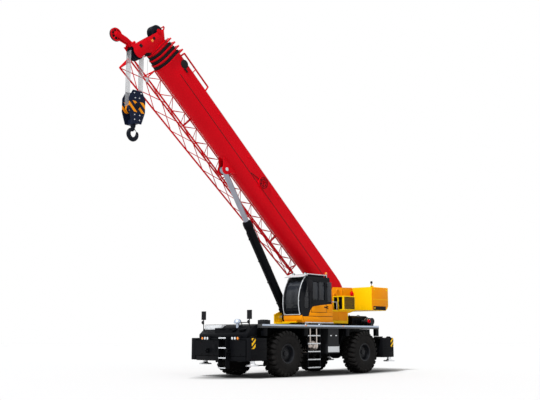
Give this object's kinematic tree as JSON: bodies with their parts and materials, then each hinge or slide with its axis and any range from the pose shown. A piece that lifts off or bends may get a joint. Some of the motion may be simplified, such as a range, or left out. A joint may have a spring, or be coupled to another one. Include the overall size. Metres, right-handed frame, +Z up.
{
  "type": "rough-terrain mobile crane",
  "caption": "Two-axle rough-terrain crane with telescopic boom, stowed lattice jib, hook block, side cab, counterweight and box outriggers.",
  "frame": {"origin": "on the ground, at the middle of the overall length and width", "axes": "+X forward along the carrier, +Y to the left, +Z up"},
  "size_m": [14.6237, 3.612, 13.078],
  "materials": {
    "carrier_black": "satin paint",
    "deck_grey": "worn tread plate",
    "crane_yellow": "gloss paint",
    "boom_red": "gloss paint",
    "cab_black": "gloss paint",
    "cast_block": "cast",
    "tyre_rubber": "matte",
    "rim_black": "satin paint",
    "bright_steel": "brushed",
    "chrome_rod": "polished",
    "pane": "tinted",
    "seat_cloth": "woven",
    "lamp_lens": "lens",
    "mirror_black": "moulded",
    "block_navy": "satin paint"
  },
  "bodies": {
    "carrier": {"carrier_frame": "carrier_black", "deck": "deck_grey", "engine": "cast_block", "engine_hood": "carrier_black", "exhaust": "bright_steel", "front_axle": "carrier_black", "rear_axle": "carrier_black", "front_outrigger_box": "carrier_black", "rear_outrigger_box": "carrier_black", "ladders": "carrier_black", "fuel_tank": "bright_steel", "lockers": "carrier_black", "skirts": "carrier_black", "lamps": "lamp_lens", "mirrors": "mirror_black", "tow_lugs": "carrier_black"},
    "superstructure": {"turntable": "crane_yellow", "counterweight": "crane_yellow", "cooler": "crane_yellow", "winches": "carrier_black", "cab_shell": "cab_black", "cab_glass": "pane", "cab_seat": "seat_cloth"},
    "door": {"cab_door": "cab_black", "door_glass": "pane"},
    "foot_pin": {"boom_foot_pin": "bright_steel"},
    "boom": {"boom_base": "boom_red", "jib": "boom_red"},
    "sheaves": {"head_sheaves": "block_navy"},
    "falls": {"hoist_falls": "bright_steel"},
    "block": {"hook_block": "block_navy"},
    "hook": {"hook": "block_navy"},
    "cylinder_pin": {"lift_pin": "bright_steel"},
    "cylinder": {"lift_barrel": "carrier_black"},
    "piston": {"lift_piston": "chrome_rod"},
    "rod": {"lift_rod": "chrome_rod"},
    "boom_2": {"boom_section_2": "boom_red"},
    "boom_3": {"boom_section_3": "boom_red"},
    "boom_4": {"boom_section_4": "boom_red"},
    "boom_5": {"boom_section_5": "boom_red"},
    "knuckle_fl": {"knuckle_fl": "carrier_black"},
    "wheel_fl": {"rim_fl": "rim_black", "tyre_fl": "tyre_rubber"},
    "beam_fl": {"outrigger_beam_fl": "carrier_black"},
    "jack_fl": {"jack_fl": "bright_steel"},
    "knuckle_fr": {"knuckle_fr": "carrier_black"},
    "wheel_fr": {"rim_fr": "rim_black", "tyre_fr": "tyre_rubber"},
    "beam_fr": {"outrigger_beam_fr": "carrier_black"},
    "jack_fr": {"jack_fr": "bright_steel"},
    "knuckle_rl": {"knuckle_rl": "carrier_black"},
    "wheel_rl": {"rim_rl": "rim_black", "tyre_rl": "tyre_rubber"},
    "beam_rl": {"outrigger_beam_rl": "carrier_black"},
    "jack_rl": {"jack_rl": "bright_steel"},
    "knuckle_rr": {"knuckle_rr": "carrier_black"},
    "wheel_rr": {"rim_rr": "rim_black", "tyre_rr": "tyre_rubber"},
    "beam_rr": {"outrigger_beam_rr": "carrier_black"},
    "jack_rr": {"jack_rr": "bright_steel"}
  },
  "joints": [
    {"name": "steer_fl", "type": "hinge", "parent": "carrier", "child": "knuckle_fl", "pos_m": [-0.192, 0.93, 0.875], "axis": [0, 0, 1], "range_deg": [-26, 26]},
    {"name": "roll_fl", "type": "hinge", "parent": "knuckle_fl", "child": "wheel_fl", "pos_m": [-0.192, 1.34, 0.875], "axis": [0, 1, 0], "continuous": true},
    {"name": "steer_fr", "type": "hinge", "parent": "carrier", "child": "knuckle_fr", "pos_m": [-0.192, -0.93, 0.875], "axis": [0, 0, 1], "range_deg": [-26, 26]},
    {"name": "roll_fr", "type": "hinge", "parent": "knuckle_fr", "child": "wheel_fr", "pos_m": [-0.192, -1.34, 0.875], "axis": [0, 1, 0], "continuous": true},
    {"name": "steer_rl", "type": "hinge", "parent": "carrier", "child": "knuckle_rl", "pos_m": [-5.042, 0.93, 0.875], "axis": [0, 0, 1], "range_deg": [-26, 26]},
    {"name": "roll_rl", "type": "hinge", "parent": "knuckle_rl", "child": "wheel_rl", "pos_m": [-5.042, 1.34, 0.875], "axis": [0, 1, 0], "continuous": true},
    {"name": "steer_rr", "type": "hinge", "parent": "carrier", "child": "knuckle_rr", "pos_m": [-5.042, -0.93, 0.875], "axis": [0, 0, 1], "range_deg": [-26, 26]},
    {"name": "roll_rr", "type": "hinge", "parent": "knuckle_rr", "child": "wheel_rr", "pos_m": [-5.042, -1.34, 0.875], "axis": [0, 1, 0], "continuous": true},
    {"name": "extend_fl", "type": "slide", "parent": "carrier", "child": "beam_fl", "axis": [0, 1, 0], "range_m": [0, 1.9]},
    {"name": "jack_down_fl", "type": "slide", "parent": "beam_fl", "child": "jack_fl", "axis": [0, 0, -1], "range_m": [0, 0.65]},
    {"name": "extend_fr", "type": "slide", "parent": "carrier", "child": "beam_fr", "axis": [0, -1, 0], "range_m": [0, 1.9]},
    {"name": "jack_down_fr", "type": "slide", "parent": "beam_fr", "child": "jack_fr", "axis": [0, 0, -1], "range_m": [0, 0.65]},
    {"name": "extend_rl", "type": "slide", "parent": "carrier", "child": "beam_rl", "axis": [0, 1, 0], "range_m": [0, 1.9]},
    {"name": "jack_down_rl", "type": "slide", "parent": "beam_rl", "child": "jack_rl", "axis": [0, 0, -1], "range_m": [0, 0.65]},
    {"name": "extend_rr", "type": "slide", "parent": "carrier", "child": "beam_rr", "axis": [0, -1, 0], "range_m": [0, 1.9]},
    {"name": "jack_down_rr", "type": "slide", "parent": "beam_rr", "child": "jack_rr", "axis": [0, 0, -1], "range_m": [0, 0.65]},
    {"name": "slew", "type": "hinge", "parent": "carrier", "child": "superstructure", "pos_m": [-2.617, 0, 2.06], "axis": [0, 0, 1], "continuous": true},
    {"name": "door_swing", "type": "hinge", "parent": "superstructure", "child": "door", "pos_m": [-2.7345, 1.484, 3.17], "axis": [0, 0, 1], "range_deg": [0, 85]},
    {"name": "boom_lower", "type": "hinge", "parent": "superstructure", "child": "foot_pin", "pos_m": [-5.067, 0, 3.175], "axis": [0, -1, 0], "range_deg": [-41, 0]},
    {"name": "boom_raise", "type": "hinge", "parent": "foot_pin", "child": "boom", "pos_m": [-5.067, 0, 3.175], "axis": [0, -1, 0], "range_deg": [0, 39]},
    {"name": "telescope_2", "type": "slide", "parent": "boom", "child": "boom_2", "axis": [0.7547, 0, 0.6561], "range_m": [0, 8.6]},
    {"name": "telescope_3", "type": "slide", "parent": "boom_2", "child": "boom_3", "axis": [0.7547, 0, 0.6561], "range_m": [0, 8.6]},
    {"name": "telescope_4", "type": "slide", "parent": "boom_3", "child": "boom_4", "axis": [0.7547, 0, 0.6561], "range_m": [0, 8.6]},
    {"name": "telescope_5", "type": "slide", "parent": "boom_4", "child": "boom_5", "axis": [0.7547, 0, 0.6561], "range_m": [0, 8.6]},
    {"name": "hang_lower", "type": "hinge", "parent": "boom_5", "child": "sheaves", "pos_m": [6.19307, 0, 11.74422], "axis": [0, -1, 0], "range_deg": [0, 41.01]},
    {"name": "hang_raise", "type": "hinge", "parent": "sheaves", "child": "falls", "pos_m": [6.19307, 0, 11.74422], "axis": [0, -1, 0], "range_deg": [-39.01, 0]},
    {"name": "hook_hoist", "type": "slide", "parent": "falls", "child": "block", "axis": [0, 0, -1], "range_m": [-1.1, 0]},
    {"name": "hook_swivel", "type": "hinge", "parent": "block", "child": "hook", "pos_m": [6.19307, 0, 9.04422], "axis": [0, 0, 1], "continuous": true},
    {"name": "cylinder_lower", "type": "hinge", "parent": "superstructure", "child": "cylinder_pin", "pos_m": [-1.967, 0, 2.32], "axis": [0, -1, 0], "range_deg": [-56.31, 0]},
    {"name": "cylinder_raise", "type": "hinge", "parent": "cylinder_pin", "child": "cylinder", "pos_m": [-1.967, 0, 2.32], "axis": [0, -1, 0], "range_deg": [0, 38.52]},
    {"name": "rod_lower", "type": "slide", "parent": "cylinder", "child": "piston", "axis": [0.5429, 0, 0.8398], "range_m": [-1.5902, 0]},
    {"name": "rod_raise", "type": "slide", "parent": "piston", "child": "rod", "axis": [0.5429, 0, 0.8398], "range_m": [0, 2.1463]}
  ],
  "couplings": [
    {"joint": "steer_fr", "follows": "steer_fl", "ratio": 1},
    {"joint": "steer_rr", "follows": "steer_rl", "ratio": 1},
    {"joint": "telescope_3", "follows": "telescope_2", "ratio": 1},
    {"joint": "telescope_4", "follows": "telescope_2", "ratio": 1},
    {"joint": "telescope_5", "follows": "telescope_2", "ratio": 1},
    {"joint": "hang_lower", "follows": "boom_lower", "ratio": -1},
    {"joint": "hang_raise", "follows": "boom_raise", "ratio": -1},
    {"joint": "cylinder_lower", "follows": "boom_lower", "ratio": 1.3732},
    {"joint": "cylinder_raise", "follows": "boom_raise", "ratio": 0.98752},
    {"joint": "rod_lower", "follows": "boom_lower", "m_per_rad": 2.2215},
    {"joint": "rod_raise", "follows": "boom_raise", "m_per_rad": 3.1525}
  ]
}
